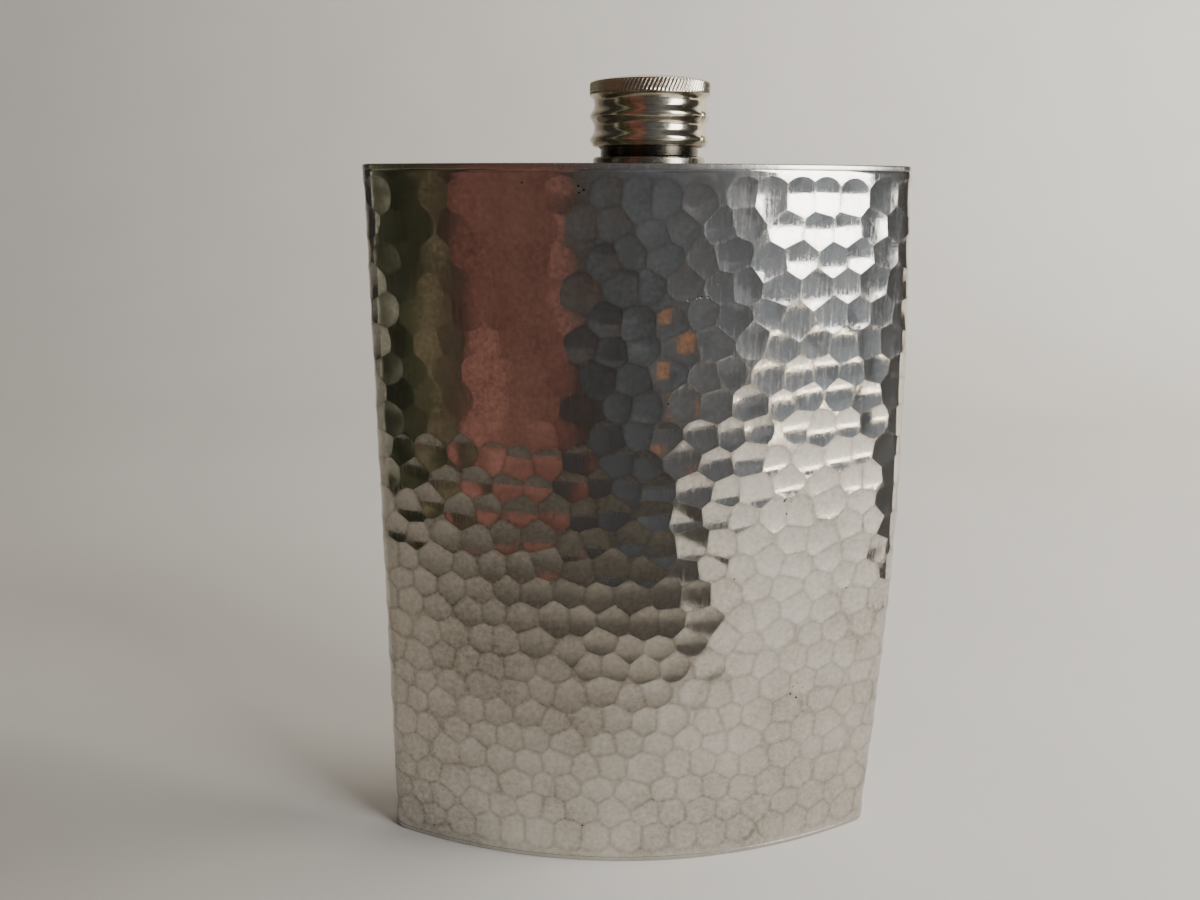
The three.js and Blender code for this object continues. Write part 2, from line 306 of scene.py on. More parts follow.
def hammered_grid(along, z):
    """The hammered face, from a grid of girth distances and heights. Squares that ridges cross are
    cut along them, so that the ridges come out crisp. It gives the points' girth distances and
    heights, the faces, the mark that owns each face, the grid's own point numbers, and the numbers
    of the cuts in its upright steps."""
    owner = hammer_bowls(along, z)[2]
    index = np.arange(z.size).reshape(z.shape)
    side_points, side = ridge_points(along, z, owner, z.size, axis=1)
    rise_points, rise = ridge_points(along, z, owner, z.size + len(side_points[0]), axis=0)
    grid = (along.ravel(), z.ravel())
    places = [np.concatenate(parts) for parts in zip(grid, side_points, rise_points)]
    corners = grid_quads(index)
    cuts = np.stack([side[:-1], rise[:, 1:], side[1:], rise[:, :-1]], axis=-1).reshape(-1, 4)
    owners = owner.ravel()[corners]
    whole = (cuts < 0).all(axis=1)
    faces = corners[whole].tolist()
    face_owner = owners[whole][:, 0].tolist()
    count = len(places[0])
    centres = []
    crossed = [part[~whole].tolist() for part in (corners, cuts, owners)]
    for quad, cut, own in zip(*crossed):
        met = [c for c in cut if c >= 0]
        if len(met) > 2:
            centres.append([float(np.mean(places[0][met])), float(np.mean(places[1][met]))])
        for face, number in cut_quad(quad, cut, own, count + len(centres) - 1):
            faces.append(face)
            face_owner.append(number)
    places = np.hstack([np.array(places), np.array(centres).T])
    return places[0], places[1], faces, face_owner, index, rise


def mark_creases(mesh, face_owner):
    """Makes every edge between faces of two different owners a sharp one."""
    loops = np.zeros(len(mesh.loops), dtype=np.int32)
    mesh.loops.foreach_get("edge_index", loops)
    sizes = np.zeros(len(mesh.polygons), dtype=np.int32)
    mesh.polygons.foreach_get("loop_total", sizes)
    owners = np.repeat(np.array(face_owner), sizes)
    low = np.full(len(mesh.edges), owners.max())
    high = np.full(len(mesh.edges), owners.min())
    np.minimum.at(low, loops, owners)
    np.maximum.at(high, loops, owners)
    layer = mesh.attributes.new("sharp_edge", "BOOLEAN", "EDGE")
    layer.data.foreach_set("value", low != high)


def make_wrap():
    """The hammered sheet: up the outer face, over the top edge and down the inner face, from one
    edge of the seam round to the other. Each edge of the seam is closed by a row of long faces."""
    outer_steps = WRAP_INNER_STEPS * WRAP_STEPS_EACH
    low, high = wrap_low[2] + EDGE_ROUND, wrap_high[2] - EDGE_ROUND
    girth = np.linspace(SEAM_GAP / 2, GIRTH - SEAM_GAP / 2, WRAP_COLUMNS)
    z, along = np.meshgrid(np.linspace(low, high, outer_steps + 1), girth, indexing="ij")
    along, z, faces, face_owner, outer, rise = hammered_grid(along, z)
    outer_points = wrap_surface(along, z, hammer_depth(along, z))
    ridges = ridge_mask(along, z)

    inner_z = np.linspace(high, low, WRAP_INNER_STEPS + 1)
    z = np.concatenate([[wrap_high[2]] * 2, inner_z, [wrap_low[2]] * 2])
    top_edge = [EDGE_ROUND, SHEET - EDGE_ROUND]
    inset = np.concatenate([top_edge, np.full(WRAP_INNER_STEPS + 1, SHEET), top_edge[::-1]])
    z, along = np.meshgrid(z, girth, indexing="ij")
    inner_points = wrap_surface(along, z, inset[:, None])
    inner = len(outer_points) + np.arange(z.size).reshape(z.shape)
    chain = np.vstack([outer[-1:], inner, outer[:1]])
    faces += grid_quads(chain).tolist()
    for column, forward in ((0, True), (WRAP_COLUMNS - 1, False)):
        flat = inner[2:-2, column][::-1]
        for k in range(WRAP_INNER_STEPS):
            face = [flat[k], flat[k + 1]]
            for i in range((k + 1) * WRAP_STEPS_EACH, k * WRAP_STEPS_EACH, -1):
                face.append(outer[i, column])
                if rise[i - 1, column] >= 0:
                    face.append(rise[i - 1, column])
            face.append(outer[k * WRAP_STEPS_EACH, column])
            faces.append([int(i) for i in (face[::-1] if forward else face)])
        for ring in (chain[:4, column], chain[-4:, column]):
            faces.append([int(i) for i in (ring if forward else ring[::-1])])
    points = np.vstack([outer_points, inner_points.reshape(-1, 3)])
    wrap = mesh_object("hammered_wrap", points, faces)
    mark_creases(wrap.data, face_owner + [-1] * (len(faces) - len(face_owner)))
    layer = wrap.data.attributes.new("ridge", "FLOAT", "POINT")
    layer.data.foreach_set("value", np.append(ridges, np.zeros(z.size)).astype(np.float32))
    return wrap


def linear(colour):
    """An sRGB hex colour as linear red, green, blue and alpha."""
    parts = [int(colour[k : k + 2], 16) / 255 for k in (1, 3, 5)]
    curve = [p / 12.92 if p <= 0.04045 else ((p + 0.055) / 1.055) ** 2.4 for p in parts]
    return (*curve, 1.0)


def add(tree, kind, settings=None, links=None, stops=()):
    """Adds a node, with settings by attribute or socket name, links by socket name, and a colour
    ramp's stops, each a position and an sRGB hex colour."""
    node = tree.nodes.new(kind)
    for key, value in (settings or {}).items():
        if isinstance(key, str) and hasattr(node, key):
            setattr(node, key, value)
        else:
            node.inputs[key].default_value = value
    for key, source in (links or {}).items():
        tree.links.new(source, node.inputs[key])
    for k, (position, colour) in enumerate(stops):
        ramp = node.color_ramp.elements
        stop = ramp[k] if k < len(ramp) else ramp.new(position)
        stop.position = position
        stop.color = linear(colour)
    return node


def per_mm(size):
    """Texture scale whose features are about this many millimetres across."""
    return 1 / (size * MM)


def new_material(name):
    """An empty material and its tree, with Object coordinates and a Principled shader in place."""
    material = bpy.data.materials.new(name)
    material.use_nodes = True
    tree = material.node_tree
    tree.nodes.clear()
    place = add(tree, "ShaderNodeTexCoord").outputs["Object"]
    shader = add(tree, "ShaderNodeBsdfPrincipled")
    output = add(tree, "ShaderNodeOutputMaterial")
    tree.links.new(shader.outputs["BSDF"], output.inputs["Surface"])
    return material, tree, place, shader


PATCH_SIZE = 16  # of the dull patches
PIT_SPACING = 1.1
PIT_FIELD = 9  # size of a cluster of pits
PIT_SIZE = 0.2  # share of the spacing
HAIRLINE = 0.35  # polishing scratches, drawn coarser than the real ones so that they show
RIDGE_WEAR = 0.16  # how much more a ridge is worn and dulled than the marks beside it
RIDGE_PITTING = 0.1
METAL_RELIEF = 0.012  # height of the specks, in mm


def pewter(name, clean, dull, smooth, rough, grain=0.35, speck=0.9):
    """Polished pewter, an alloy of tin: a soft grey metal with a warm cast. The hammer leaves its
    marks bright, and the ridges between them stay rougher and darker. Thin patches have gone dull,
    small dark pits of corrosion gather along the ridges and in clusters, and a film of handling
    grease lies over it all as a hazy coat."""
    material, tree, place, shader = new_material(name)
    ridge = add(tree, "ShaderNodeAttribute", {"attribute_name": "ridge"}).outputs["Fac"]
    patches = add(tree, "ShaderNodeTexNoise",
                  {"Scale": per_mm(PATCH_SIZE), "Detail": 4.0, "Roughness": 0.6},
                  {"Vector": place})
    specks = add(tree, "ShaderNodeTexNoise",
                 {"Scale": per_mm(speck), "Detail": 3.0, "Roughness": 0.7},
                 {"Vector": place})
    tarnish = add(tree, "ShaderNodeMath", {"operation": "MULTIPLY"},
                  {0: patches.outputs["Fac"], 1: specks.outputs["Fac"]})
    worn = add(tree, "ShaderNodeMath", {"operation": "MULTIPLY_ADD", 1: RIDGE_WEAR},
               {0: ridge, 2: tarnish.outputs["Value"]})
    shade = add(tree, "ShaderNodeValToRGB", {}, {"Fac": worn.outputs["Value"]},
                stops=((0.12, clean), (0.55, dull)))
    pit_dots = add(tree, "ShaderNodeTexVoronoi", {"Scale": per_mm(PIT_SPACING)},
                   {"Vector": place})
    pit_fields = add(tree, "ShaderNodeTexNoise", {"Scale": per_mm(PIT_FIELD)},
                     {"Vector": place})
    pit_chance = add(tree, "ShaderNodeMath", {"operation": "MULTIPLY_ADD", 1: RIDGE_PITTING},
                     {0: ridge, 2: pit_fields.outputs["Fac"]})
    pit_size = add(tree, "ShaderNodeMapRange",
                   {"From Min": 0.62, "From Max": 0.8, "To Max": PIT_SIZE},
                   {"Value": pit_chance.outputs["Value"]})
    pitted = add(tree, "ShaderNodeMath", {"operation": "LESS_THAN"},
                 {0: pit_dots.outputs["Distance"], 1: pit_size.outputs["Result"]})
    colour = add(tree, "ShaderNodeMix", {"data_type": "RGBA", 7: linear("#2b2824")},
                 {0: pitted.outputs["Value"], 6: shade.outputs["Color"]})
    stretch = add(tree, "ShaderNodeMapping",
                  {"Rotation": (0.3, 0.5, 0.4), "Scale": (1, 1, 0.06)},
                  {"Vector": place})
    hairlines = add(tree, "ShaderNodeTexNoise",
                    {"Scale": per_mm(HAIRLINE), "Detail": 2.0, "Roughness": 0.8},
                    {"Vector": stretch.outputs["Vector"]})
    wear = add(tree, "ShaderNodeMath", {"operation": "MULTIPLY_ADD", 1: 0.55},
               {0: hairlines.outputs["Fac"], 2: worn.outputs["Value"]})
    roughness = add(tree, "ShaderNodeMapRange",
                    {"From Min": 0.45, "From Max": 1.05, "To Min": smooth, "To Max": rough},
                    {"Value": wear.outputs["Value"]})
    height = add(tree, "ShaderNodeMath", {"operation": "MULTIPLY_ADD", 1: -1.5},
                 {0: pitted.outputs["Value"], 2: specks.outputs["Fac"]})
    bump = add(tree, "ShaderNodeBump", {"Strength": grain, "Distance": METAL_RELIEF * MM},
               {"Height": height.outputs["Value"]})
    shader.inputs["Metallic"].default_value = 1.0
    shader.inputs["Coat Weight"].default_value = 0.55
    shader.inputs["Coat Roughness"].default_value = 0.45
    tree.links.new(colour.outputs[2], shader.inputs["Base Color"])
    tree.links.new(roughness.outputs["Result"], shader.inputs["Roughness"])
    tree.links.new(bump.outputs["Normal"], shader.inputs["Normal"])
    return material


hammered_pewter = pewter("planished pewter", "#d6d0c6", "#8f887c", 0.035, 0.34)
wrap = make_wrap()
wrap.data.materials.append(hammered_pewter)
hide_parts("body_wrap")
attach(wrap, "flask")

# ---- Side seam ----
# The solder that fills the gap between the sheet's two edges, filed flush outside and hammered
# with the sheet. Inside it stands out in a low bead. It is greyer and duller than the pewter.

SEAM_SIDE_GAP = 0.015
SEAM_SINK = 0.01  # its outer face lies this much below the sheet's
BEAD_HALF_ANGLE = 38.0
BEAD_POINTS = 5  # on each side of the web
BEAD_GAP = 0.05
SEAM_STEPS = 240


def make_side_seam():
    """A bar up the left side: its section is a web between the sheet's edges and a bead behind it,
    and its outer face sinks with the hammering beside it."""
    half_web = SEAM_GAP / 2 - SEAM_SIDE_GAP
    bead_radius = SIDE_RADIUS - SHEET - BEAD_GAP
    web_angle = math.degrees(math.asin(half_web / bead_radius))
    bead = np.radians(np.concatenate([
        np.linspace(180 - BEAD_HALF_ANGLE, 180 - web_angle, BEAD_POINTS),
        np.linspace(180 + web_angle, 180 + BEAD_HALF_ANGLE, BEAD_POINTS),
    ]))
    z = np.linspace(wrap_low[2], wrap_high[2], SEAM_STEPS)
    along, height = np.meshgrid([-half_web, 0, half_web], z)
    face = wrap_surface(along, height, hammer_depth(along, height) + SEAM_SINK)
    back = np.empty((SEAM_STEPS, len(bead), 3))
    back[..., 0] = -SIDE_CENTRE + bead_radius * np.cos(bead)
    back[..., 1] = bead_radius * np.sin(bead)
    back[..., 2] = z[:, None]
    bar = np.concatenate([back[:, :BEAD_POINTS], face, back[:, BEAD_POINTS:]], axis=1)
    return skin("side_seam", bar, start=bar[0].mean(axis=0), end=bar[-1].mean(axis=0))


solder = pewter("scraped tin solder", "#aaa79f", "#807c74", 0.28, 0.5, grain=0.6)
side_seam = make_side_seam()
side_seam.data.materials.append(solder)
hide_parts("side_seam_solder")
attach(side_seam, "flask")

# The three runs of solder inside keep their plain shapes.
for node in ("base_seam_solder", "top_seam_solder", "neck_solder"):
    bpy.data.objects[node].data.materials.clear()
    bpy.data.objects[node].data.materials.append(solder)

# ---- End plates ----
# Two flat plates of plain pewter, soldered on the ends of the tube and filed flush all round. The
# top one has a hole for the neck. Their corners are worn round, and the top is dull and scratched.

PLATE_COLUMNS = 480
PLATE_ROUND = 0.28  # its free corner
PLATE_SEAM_ROUND = 0.05  # its corner against the sheet
NICK_DEPTH = 0.012
NICKS_ROUND = (60, 17)  # nicks and longer dips round the girth
LOW_NICKS = 0.3  # share of their depth on the lower half of an edge
INWARD = (0.15, 0.4, 0.7, 1.0)
HOLE_RADIUS = 7.5
neck_low, neck_high = millimetres("neck")
NECK_X = (neck_low[0] + neck_high[0]) / 2


def edge_arc(inset, height, radius, start, end, pieces=4):
    """Insets and heights along a rounded corner, about a centre at that inset and height."""
    angle = np.radians(np.linspace(start, end, pieces + 1))
    return [(inset - radius * math.cos(a), height + radius * math.sin(a)) for a in angle]


def plate_rings(low, high, round_top, round_bottom, inner_radius):
    """Rings of a plate: each is the lens set in by some distance, at some height, or it lies a
    share of the way in towards a circle round the neck's axis. The edge's corners are rounded."""
    along = np.linspace(0, GIRTH, PLATE_COLUMNS, endpoint=False)
    nicks = NICK_DEPTH * sum(np.abs(smooth_noise(along, waves)) for waves in NICKS_ROUND)
    profile = edge_arc(round_bottom, low + round_bottom, round_bottom, -90, 0)
    profile += edge_arc(round_top, high - round_top, round_top, 0, 90)
    rings = []
    for inset, height in profile:
        (x, y), normal = section(along, inset)
        sunk = nicks if height > (low + high) / 2 else LOW_NICKS * nicks
        ring = [x - sunk * normal[0], y - sunk * normal[1], np.full_like(x, height)]
        rings.append(np.stack(ring, axis=-1))
    edge_low, edge_high = rings[0], rings[-1]
    towards = np.arctan2(edge_high[:, 1], edge_high[:, 0] - NECK_X)
    circle = [NECK_X + inner_radius * np.cos(towards), inner_radius * np.sin(towards)]
    circle = np.stack([*circle, np.zeros_like(towards)], axis=-1)

    def inward(edge, share, height):
        blend = edge * (1 - share) + circle * share
        blend[:, 2] = height
        return blend

    upper = [inward(edge_high, share, high) for share in INWARD]
    lower = [inward(edge_low, share, low) for share in INWARD[::-1]]
    return np.array(lower + rings + upper)


def smooth_noise(along, waves):
    """Smooth periodic noise along the girth, about 1 high: a sum of a few sines of half this many
    waves up to all of them, with random strengths and phases."""
    counts = np.arange(max(1, waves // 2), waves + 1, max(1, waves // 8))
    strength = random.normal(size=len(counts))
    phase = random.uniform(0, 2 * np.pi, len(counts))
    angle = 2 * np.pi * np.outer(along / GIRTH, counts) + phase
    return np.sin(angle) @ strength / math.sqrt(len(counts))


plain_pewter = pewter(
    "plain pewter plate", "#c9c4ba", "#98938a", 0.2, 0.42, grain=0.5, speck=0.6
)
rings = plate_rings(plate_low[2], plate_high[2], PLATE_ROUND, PLATE_SEAM_ROUND, HOLE_RADIUS)
top_plate = skin("shoulder_plate", rings, loop=True)
top_plate.data.materials.append(plain_pewter)
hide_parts("top_plate")
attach(top_plate, "flask")

CLOSED_RADIUS = 0.8  # of the fan that closes the base plate's middle
base_low, base_high = millimetres("base_plate")
rings = plate_rings(base_low[2], base_high[2], PLATE_SEAM_ROUND, PLATE_ROUND, CLOSED_RADIUS)
base_plate = skin(
    "foot_plate", rings,
    start=np.array([NECK_X, 0, base_low[2]]), end=np.array([NECK_X, 0, base_high[2]]),
)
base_plate.data.materials.append(plain_pewter)
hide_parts("base_plate")
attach(base_plate, "flask")

# ---- Neck ----
# A casting in a harder white metal, turned on a lathe: a spigot soldered into the plate's hole, a
# rounded collar on top of the plate, and a coarse right-handed thread up to a rounded lip. A
# painted shade lies nearly black at the foot of the thread, where the cap shades it.

SHOULDER = plate_high[2]  # heights of the neck and cap are counted from the plate's upper face
THREAD_PITCH = 2.5
THREAD_ROOT = 8.3
THREAD_HEIGHT = 0.45
RIDGE_BASE = 1.6
RIDGE_CREST = 0.75
BORE = 6.5
SPIGOT = 7.4
COLLAR = 9.55
COLLAR_HEIGHT = 1.3
COLLAR_ROUND = 0.5
COLLAR_FOOT = 0.15
LIP_ROUND = 0.6
BORE_ROUND = 0.35
THREAD_FADE = 0.3  # turns
FLANK_EASE = 0.08  # rounding of the thread's corners
SLACK = 0.01  # a radius this close to a wall's is on that wall
NECK_SPACING = 0.12
spigot_bottom = neck_low[2] - SHOULDER
lip = neck_high[2] - SHOULDER
thread_crossing = COLLAR_HEIGHT + RIDGE_BASE / 2
NECK_COLUMNS = 256


def ridge_height(height, angle, crossing, low, high):
    """Height of a thread's ridge: a flat-topped wave of the distance from the nearest turn of the
    helix, that fades away over part of a turn at both ends."""
    turn = angle / (2 * np.pi)
    nearest = np.rint((height - crossing) / THREAD_PITCH - turn) + turn
    middle = crossing + nearest * THREAD_PITCH
    away = np.abs(height - middle)
    flank = 1 - smooth_step(RIDGE_CREST / 2 - FLANK_EASE, RIDGE_BASE / 2 + FLANK_EASE, away)
    fade = smooth_step(low, low + THREAD_FADE * THREAD_PITCH, middle)
    fade = fade * (1 - smooth_step(high - THREAD_FADE * THREAD_PITCH, high, middle))
    return THREAD_HEIGHT * flank * fade


def turned_profile(corners, spacing):
    """Points along a profile of [radius, height] corners, no further apart than the spacing."""
    points = [np.array(corners[0], dtype=float)]
    for corner in corners[1:]:
        corner = np.array(corner, dtype=float)
        pieces = max(1, math.ceil(np.linalg.norm(corner - points[-1]) / spacing))
        start = points[-1]
        points += [start + (corner - start) * k / pieces for k in range(1, pieces + 1)]
    return np.array(points)


def corner_arc(radius, height, size, start, end, pieces=5):
    """Corners round an arc about a point of the profile, in degrees from the outward direction."""
    angles = np.radians(np.linspace(start, end, pieces + 1))
    return [(radius + size * math.cos(a), height + size * math.sin(a)) for a in angles]


def turn_rings(profile, columns, wobble):
    """Rings of a profile turned about the neck's axis. A wobble, made from radius, height and
    angle, is added to the radius."""
    angle = np.linspace(0, 2 * np.pi, columns, endpoint=False)
    radius = np.repeat(profile[:, :1], columns, axis=1)
    height = np.repeat(profile[:, 1:], columns, axis=1)
    turn = np.repeat(angle[None], len(profile), axis=0)
    radius = radius + wobble(radius, height, turn)
    x = NECK_X + radius * np.cos(turn)
    return np.stack([x, radius * np.sin(turn), SHOULDER + height], axis=-1)


def make_neck():
    """Up the outside of spigot, collar and thread, over the lip and down the bore."""
    corners = [(BORE, spigot_bottom), (SPIGOT, spigot_bottom), (SPIGOT, -0.02)]
    corners += [(COLLAR - COLLAR_FOOT, 0.0)]
    corners += corner_arc(COLLAR - COLLAR_FOOT, COLLAR_FOOT, COLLAR_FOOT, -90, 0, 3)
    corners += corner_arc(COLLAR - COLLAR_ROUND, COLLAR_HEIGHT - COLLAR_ROUND, COLLAR_ROUND, 0, 90)
    corners += [(THREAD_ROOT + 0.2, COLLAR_HEIGHT), (THREAD_ROOT, COLLAR_HEIGHT + 0.2)]
    corners += corner_arc(THREAD_ROOT - LIP_ROUND, lip - LIP_ROUND, LIP_ROUND, 0, 90)
    corners += corner_arc(BORE + BORE_ROUND, lip - BORE_ROUND, BORE_ROUND, 90, 180, 4)
    profile = turned_profile(corners, NECK_SPACING)[:-1]

    def wobble(radius, height, angle):
        on_wall = (radius > THREAD_ROOT - SLACK) & (height > COLLAR_HEIGHT)
        high = lip - LIP_ROUND - RIDGE_BASE / 2
        thread = ridge_height(height, angle, thread_crossing, thread_crossing, high)
        return np.where(on_wall, thread, 0)

    return skin("threaded_neck", turn_rings(profile, NECK_COLUMNS, wobble), loop=True)


# Painted shade where the cap shades the foot of the thread: how far up it reaches, and its strength
# along that reach, white for the darkest.
CAP_SHADE_REACH = 4.5
CAP_SHADE_FADE = ((0.0, "#000000"), (0.06, "#ffffff"), (0.35, "#f0f0f0"), (1.0, "#606060"))
BLOTCH = 5
LATHE_PITCH = 0.14  # of the turning marks
SCRATCH = 0.5


def white_metal(name, clean, dull, smooth, rough, cap_shade_from=None):
    """Turned white metal: brighter and harder than the sheet, with fine lathe rings round the axis
    and blotches of brown tarnish. Given a height, a painted shade lies on it nearly black just
    above that height, for the cap's shadow on the thread, and thins out upwards to a faint
    darkening."""
    material, tree, place, shader = new_material(name)
    blotches = add(tree, "ShaderNodeTexNoise",
                   {"Scale": per_mm(BLOTCH), "Detail": 5.0, "Roughness": 0.65},
                   {"Vector": place})
    colour = add(tree, "ShaderNodeValToRGB", {}, {"Fac": blotches.outputs["Fac"]},
                 stops=((0.42, clean), (0.75, dull))).outputs["Color"]
    if cap_shade_from is not None:
        # Painted shade: the metal is darkened nearly to black just above the height, where the cap
        # shades the thread, and less further up.
        height = add(tree, "ShaderNodeSeparateXYZ", {}, {0: place}).outputs["Z"]
        reach = (cap_shade_from * MM, (cap_shade_from + CAP_SHADE_REACH) * MM)
        climb = add(tree, "ShaderNodeMapRange", {"From Min": reach[0], "From Max": reach[1]},
                    {"Value": height})
        cap_shade = add(tree, "ShaderNodeValToRGB", {}, {"Fac": climb.outputs["Result"]}, CAP_SHADE_FADE)
        colour = add(tree, "ShaderNodeMix", {"data_type": "RGBA", 7: linear("#38332c")},
                     {0: cap_shade.outputs["Color"], 6: colour}).outputs[2]
    rings = add(tree, "ShaderNodeMapping", {"Scale": (0.02, 0.02, 1)}, {"Vector": place})
    marks = add(tree, "ShaderNodeTexNoise", {"Scale": per_mm(LATHE_PITCH)},
                {"Vector": rings.outputs["Vector"]})
    scratches = add(tree, "ShaderNodeTexNoise",
                    {"Scale": per_mm(SCRATCH), "Detail": 3.0, "Roughness": 0.8},
                    {"Vector": place})
    mixed = add(tree, "ShaderNodeMath", {"operation": "MULTIPLY_ADD", 1: 0.5},
                {0: marks.outputs["Fac"], 2: scratches.outputs["Fac"]})
    roughness = add(tree, "ShaderNodeMapRange",
                    {"From Min": 0.5, "From Max": 1.1, "To Min": smooth, "To Max": rough},
                    {"Value": mixed.outputs["Value"]})
    bump = add(tree, "ShaderNodeBump", {"Strength": 0.3, "Distance": 0.01 * MM},
               {"Height": marks.outputs["Fac"]})
    shader.inputs["Metallic"].default_value = 1.0
    tree.links.new(colour, shader.inputs["Base Color"])
    tree.links.new(roughness.outputs["Result"], shader.inputs["Roughness"])
    tree.links.new(bump.outputs["Normal"], shader.inputs["Normal"])
    return material


# The neck's colour carries a painted shade above its collar, under the cap.
neck_metal = white_metal(
    "white metal with painted cap shade", "#aaa294", "#6a6052", 0.16, 0.4, cap_shade_from=SHOULDER + COLLAR_HEIGHT
)
neck = make_neck()
neck.data.materials.append(neck_metal)
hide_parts("neck")
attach(neck, "flask")

# ---- Cap ----
# A turned screw cap in polished white metal, with its thread cut in the same metal. Two beads and
# two hollows run round its skirt, its rim is milled with slanting grooves, and its top is a low
# dome. Each bead has a pair of small nicks.

cap_low, cap_high = millimetres("screw_cap")
liner_low, liner_high = millimetres("cap_liner")
cap_edge = cap_low[2] - SHOULDER
ceiling = liner_high[2] - SHOULDER
CAP_HEIGHT = 10.35
RIM_RADIUS = 10.15
RIM_HEIGHT = 2.2
DOME_RISE = cap_high[2] - SHOULDER - cap_edge - CAP_HEIGHT
BEAD = 10.1
COVE = 9.4
BEAD_PITCH = 3.82
BEAD_SHARPNESS = 1.5
FIRST_BEAD = 1.1
CAP_BORE = 8.95
MOUTH = 0.35
TEETH = 96
TOOTH_DEPTH = 0.22
TOOTH_LEAN = 26.0  # degrees from upright
TOOTH_END = 0.35  # the grooves run out over this much at each end
CAP_COLUMNS = TEETH * 5
CAP_SPACING = 0.22
SKIRT_STEPS = 64
RIM_FOOT = 0.15
RIM_ROUND = 0.3
DOME_STEPS = 14
POLE = 0.4  # radius of the fans that close the middles of ceiling and dome
NICK_AZIMUTH = -32.0
NICK_APART = 0.42  # each way from the middle of a pair
NICK_WIDTH = 0.2
NICK_HEIGHT = 0.55
NICK_SINK = 0.22
cap_top = cap_edge + CAP_HEIGHT


def skirt_radius(height):
    """Radius of the skirt's wave at a height above the cap's edge: rounded beads, wider hollows."""
    wave = (1 + np.cos(2 * np.pi * (height - FIRST_BEAD) / BEAD_PITCH)) / 2
    return COVE + (BEAD - COVE) * wave**BEAD_SHARPNESS


def cap_wobble(radius, height, angle):
    """Change of radius: the thread inwards in the bore, slanting grooves in the rim, whose section
    is a blunted cosine, and pairs of small nicks on the beads, each a bell curve."""
    inner = (np.abs(radius - CAP_BORE) < SLACK) & (height < ceiling - SLACK)
    low = cap_edge + MOUTH + RIDGE_BASE / 2
    high = lip - RIDGE_BASE / 2
    thread = ridge_height(height, angle, thread_crossing + THREAD_PITCH / 2, low, high)
    rim_low = cap_top - RIM_HEIGHT
    lean = (height - rim_low) * math.tan(math.radians(TOOTH_LEAN)) / RIM_RADIUS
    reach = smooth_step(rim_low + 0.1, rim_low + TOOTH_END, height)
    reach = reach * (1 - smooth_step(cap_top - TOOTH_END, cap_top - 0.05, height))
    groove = -TOOTH_DEPTH * reach * (0.5 + 0.5 * np.cos(TEETH * (angle - lean))) ** 0.8
    nicks = np.zeros_like(radius)
    around = (angle - math.radians(NICK_AZIMUTH) + np.pi) % (2 * np.pi) - np.pi
    for bead in (0, 1):
        up = (height - cap_edge - FIRST_BEAD - bead * BEAD_PITCH) / NICK_HEIGHT
        for side in (-1, 1):
            across = (around * BEAD - side * NICK_APART) / NICK_WIDTH
            nicks -= NICK_SINK * np.exp(-(across**2) - up**2)
    on_rim = radius > RIM_RADIUS - 0.45
    outside = (radius > COVE - 0.05) & (height < rim_low)
    return np.where(inner, -thread, 0) + np.where(on_rim, groove, 0) + np.where(outside, nicks, 0)


def make_cap():
    """From the middle of the ceiling down the threaded bore, round the mouth, up the skirt and rim
    and over the dome, whose height falls off with the square of the radius."""
    inner = [(POLE, ceiling), (CAP_BORE, ceiling), (CAP_BORE, cap_edge + MOUTH)]
    inner += [(CAP_BORE + MOUTH, cap_edge + 0.02)]
    skirt = np.linspace(0.12, CAP_HEIGHT - RIM_HEIGHT - 0.12, SKIRT_STEPS)
    edge = [(CAP_BORE + MOUTH + 0.1, cap_edge), (skirt_radius(0.12) - 0.1, cap_edge)]
    wave = np.stack([skirt_radius(skirt), cap_edge + skirt], axis=-1)
    rim_low = cap_top - RIM_HEIGHT
    rim = [(RIM_RADIUS - RIM_FOOT - 0.01, rim_low - 0.02)]
    rim += corner_arc(RIM_RADIUS - RIM_FOOT, rim_low + RIM_FOOT, RIM_FOOT, -90, 0, 3)
    rim += corner_arc(RIM_RADIUS - RIM_ROUND, cap_top - RIM_ROUND, RIM_ROUND, 0, 80, 5)
    across = np.linspace(1, 0.04, DOME_STEPS)
    dome = [(RIM_RADIUS - 0.4) * across, cap_top + DOME_RISE * (1 - across**2)]
    profile = np.vstack([
        turned_profile(inner, CAP_SPACING), edge, wave, turned_profile(rim, 0.2), np.transpose(dome)
    ])
    rings = turn_rings(profile, CAP_COLUMNS, cap_wobble)
    start = np.array([NECK_X, 0, SHOULDER + ceiling])
    end = np.array([NECK_X, 0, SHOULDER + cap_top + DOME_RISE])
    return skin("beaded_cap", rings, start=start, end=end)


cap_metal = white_metal("polished white metal", "#d3cab6", "#a89c84", 0.09, 0.28)
cap = make_cap()
cap.data.materials.append(cap_metal)
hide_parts("screw_cap")
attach(cap, "cap")

# ---- Cork liner ----
# A disc cut from cork sheet and pressed into the cap, against its ceiling. It seals on the neck's
# lip when the cap is down.

LINER_COLUMNS = 128
PRESSED_ROUND = 0.2
CUT_ROUND = 0.1
CRUMBLE = 0.05  # depth of the granules' unevenness round the rim
CORK_GRAIN = 1.3


def make_liner():
    """A disc with worn corners and an uneven, granular surface."""
    radius = (liner_high[0] - liner_low[0]) / 2
    low, high = liner_low[2] - SHOULDER, liner_high[2] - SHOULDER
    corners = [(POLE, low)]
    corners += corner_arc(radius - PRESSED_ROUND, low + PRESSED_ROUND, PRESSED_ROUND, -90, 0, 3)
    corners += corner_arc(radius - CUT_ROUND, high - CUT_ROUND, CUT_ROUND, 0, 90, 3)
    profile = turned_profile([*corners, (POLE, high)], 0.3)

    def wobble(r, height, angle):
        return -np.where(r > radius - 0.25, CRUMBLE * random.random(r.shape), 0)

    rings = turn_rings(profile, LINER_COLUMNS, wobble)
    start = np.array([NECK_X, 0, liner_low[2]])
    end = np.array([NECK_X, 0, liner_high[2]])
    return skin("cork_disc", rings, start=start, end=end)


